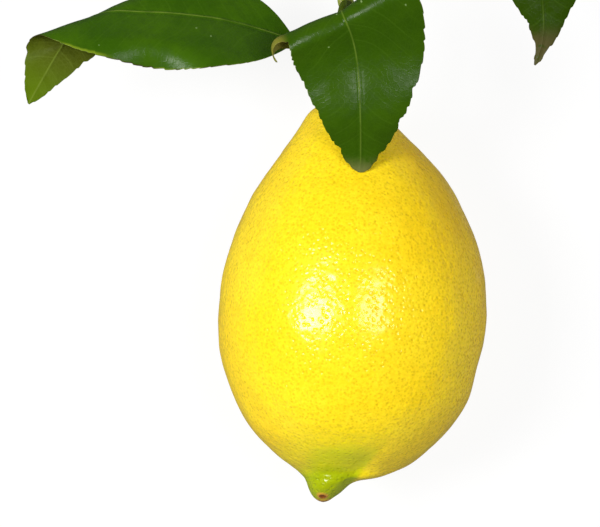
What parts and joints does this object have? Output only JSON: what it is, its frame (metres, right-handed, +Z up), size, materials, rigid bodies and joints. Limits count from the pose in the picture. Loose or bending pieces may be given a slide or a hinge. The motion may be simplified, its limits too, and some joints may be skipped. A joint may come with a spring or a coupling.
{
  "type": "lemon",
  "caption": "Picked lemon lying on its side, with its calyx, a cut piece of green shoot and glossy leaves that arch over and point away from the neck.",
  "frame": {"origin": "centre of the small flat spot under the fruit, on the surface that it rests on", "axes": "+Y along the fruit from its nipple to its stem end and on to the cut shoot, +Z up from the surface, +X to the right seen from above"},
  "size_m": [0.1294, 0.1525, 0.0663],
  "materials": {
    "lemon_peel": "gloss",
    "calyx_green": "matte",
    "green_shoot": "satin",
    "leaf_green": "gloss"
  },
  "bodies": {
    "root": {"fruit": "lemon_peel", "calyx": "calyx_green", "twig": "green_shoot", "leaf_front": "leaf_green", "leaf_left": "leaf_green", "leaf_right": "leaf_green"}
  },
  "joints": []
}
